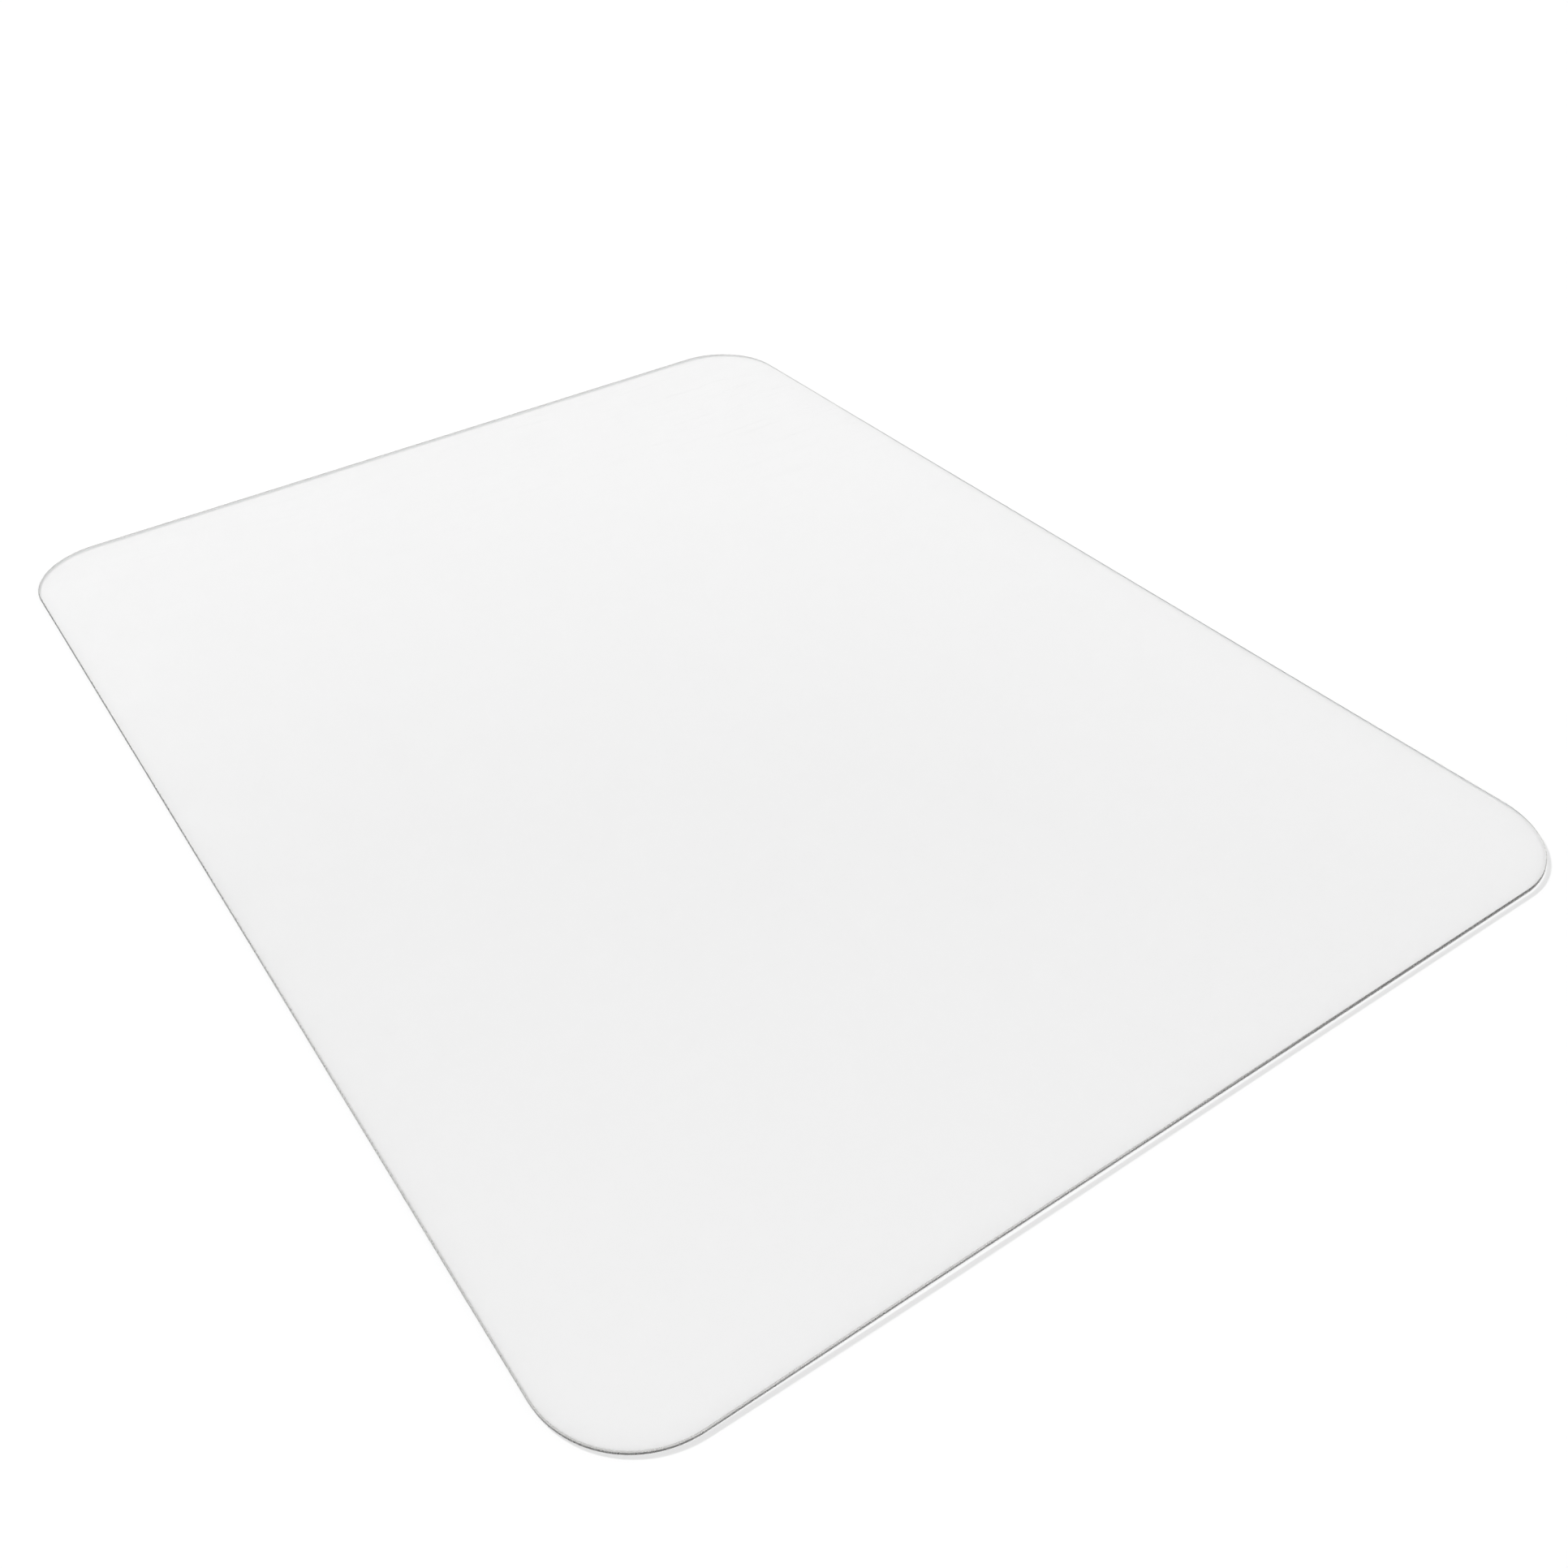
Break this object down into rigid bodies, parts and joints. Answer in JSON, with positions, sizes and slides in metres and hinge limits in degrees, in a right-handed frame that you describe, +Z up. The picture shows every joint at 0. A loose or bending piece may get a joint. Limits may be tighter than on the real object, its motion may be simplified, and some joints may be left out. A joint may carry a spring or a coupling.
{
  "type": "chair mat",
  "caption": "Clear hard-floor chair mat: a flat, rigid, transparent plastic sheet, cut as a rectangle with rounded corners and a bevelled upper edge.",
  "frame": {"origin": "on the floor, under the middle of the sheet", "axes": "+X along the short sides, +Y along the long sides, +Z up through the sheet"},
  "size_m": [0.9, 1.2, 0.003],
  "materials": {
    "clear_polycarbonate": "clear, glossy on both faces, with fine wear marks from casters and a darker satin edge"
  },
  "bodies": {
    "root": {"mat_sheet": "clear_polycarbonate"}
  },
  "joints": []
}
